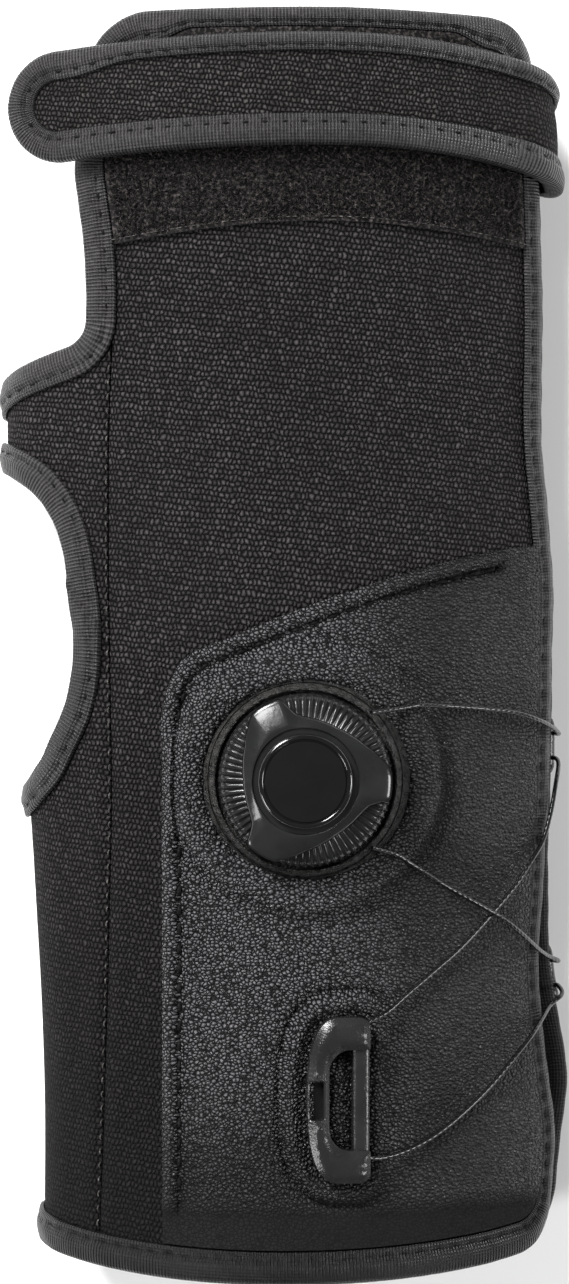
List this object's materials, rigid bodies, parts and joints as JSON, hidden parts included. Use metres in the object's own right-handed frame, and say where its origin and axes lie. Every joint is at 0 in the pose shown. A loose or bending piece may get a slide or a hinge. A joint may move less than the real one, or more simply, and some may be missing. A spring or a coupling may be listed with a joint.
{
  "type": "bowling glove",
  "caption": "Wrist-support bowling glove: padded canvas wrap with thumb opening, hook-and-loop strap, leather overlay and a lace dial that tightens it through a D-shaped handle.",
  "frame": {"origin": "on the surface that the glove lies on, under the middle of its box", "axes": "+Y towards the fingers, +Z out of the back of the hand, -X on the thumb side"},
  "size_m": [0.1138, 0.248, 0.0588],
  "materials": {
    "canvas": "black coarse canvas",
    "tape": "charcoal ribbed binding tape",
    "loop_fabric": "black brushed loop fabric",
    "hook_fabric": "black hook fabric",
    "leather": "black grained leather, soft sheen",
    "dial_plastic": "black moulded plastic, slightly rough",
    "knob_plastic": "black ribbed plastic, semi-gloss",
    "grip_plastic": "black satin plastic",
    "cap_plastic": "black polished plastic",
    "handle_plastic": "black satin plastic",
    "lace": "black coated lace, satin"
  },
  "bodies": {
    "glove": {"back_panel": "canvas", "palm_panel": "canvas", "edge_binding": "tape", "thumb_binding": "tape", "loop_patch": "loop_fabric", "strap": "canvas", "strap_binding": "tape", "hook_pad": "hook_fabric", "leather_panel": "leather", "dial_base": "dial_plastic", "handle_base": "handle_plastic", "lace_handle": "handle_plastic", "edge_guide_upper": "handle_plastic", "edge_guide_lower": "handle_plastic", "lace_upper_out": "lace", "lace_upper_back": "lace", "lace_lower_out": "lace", "lace_lower_back": "lace"},
    "dial_post": {"dial_axle": "dial_plastic"},
    "dial_wheel": {"dial_knob": "knob_plastic", "dial_grip": "grip_plastic", "dial_cap": "cap_plastic"}
  },
  "joints": [
    {"name": "dial_pull", "type": "slide", "parent": "glove", "child": "dial_post", "axis": [0, 0, 1], "range_m": [0, 0.0025]},
    {"name": "dial_turn", "type": "hinge", "parent": "dial_post", "child": "dial_wheel", "pos_m": [0.00388, -0.02651, 0.05], "axis": [0, 0, 1], "continuous": true}
  ]
}
